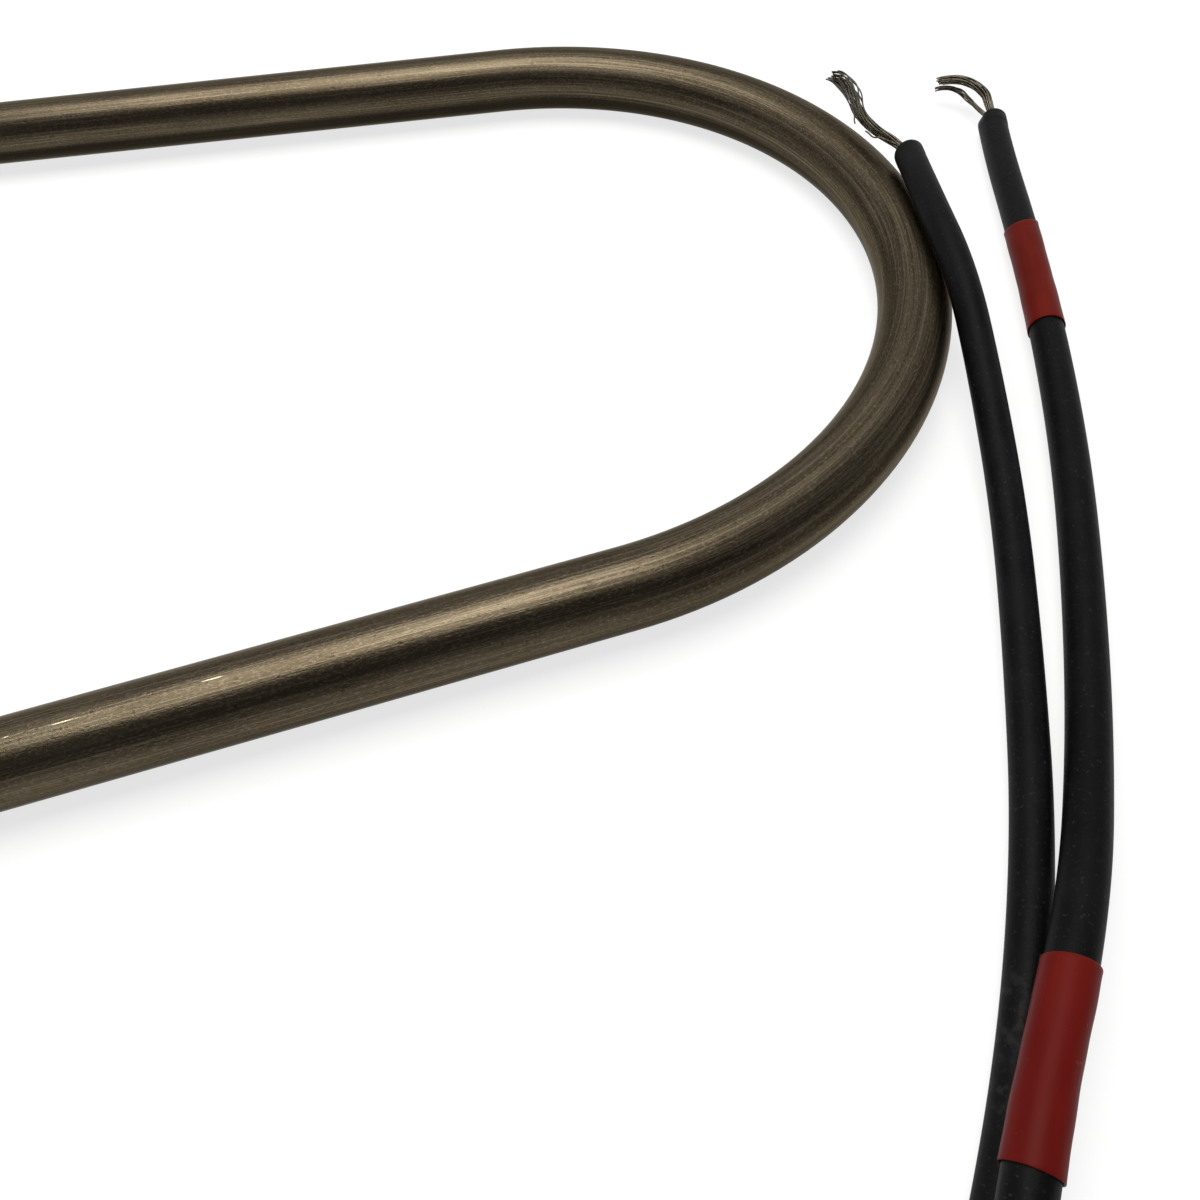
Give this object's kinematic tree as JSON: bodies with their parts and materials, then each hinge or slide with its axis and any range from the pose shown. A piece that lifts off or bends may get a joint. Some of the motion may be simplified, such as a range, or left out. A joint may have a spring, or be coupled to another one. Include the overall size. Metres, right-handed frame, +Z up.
{
  "type": "tubular heating element",
  "caption": "Hairpin tubular heating element with moulded rubber ends and bare-ended rubber leads, for defrosting a cooler or warming its drain.",
  "frame": {"origin": "on the surface that the element lies on, under the middle of the hairpin's own box; the free leads are left out of that box", "axes": "+Z up, +X along the hairpin towards its bend, +Y across the hairpin towards the far leg"},
  "size_m": [0.452, 0.2382, 0.0124],
  "materials": {
    "annealed_sheath": "annealed bronze-grey satin with fine drawing lines and light scratches",
    "magnesia_powder": "packed white powder",
    "resistance_alloy": "bright resistance wire",
    "plated_pin": "plated steel",
    "bead_ceramic": "matt fired ceramic",
    "seal_resin": "poured resin",
    "splice_metal": "tinned copper sleeve",
    "boot_rubber": "moulded matt black rubber",
    "lead_rubber": "extruded matt black rubber, a little dusty",
    "tinned_copper": "fine tinned strands, dulled",
    "red_sleeve": "red shrunk sleeve, soft sheen"
  },
  "bodies": {
    "root": {"sheath_tube": "annealed_sheath", "magnesia_fill": "magnesia_powder", "resistance_coil": "resistance_alloy", "terminal_pin_far": "plated_pin", "terminal_pin_near": "plated_pin", "ceramic_bead_far": "bead_ceramic", "ceramic_bead_near": "bead_ceramic", "resin_seal_far": "seal_resin", "resin_seal_near": "seal_resin", "crimp_splice_far": "splice_metal", "crimp_splice_near": "splice_metal", "boot_far": "boot_rubber", "boot_near": "boot_rubber", "lead_jacket_far": "lead_rubber", "lead_jacket_near": "lead_rubber", "lead_core_far": "tinned_copper", "lead_core_near": "tinned_copper", "bare_strands_far": "tinned_copper", "bare_strands_near": "tinned_copper", "marker_sleeve_end": "red_sleeve", "marker_sleeve_low": "red_sleeve"}
  },
  "joints": []
}
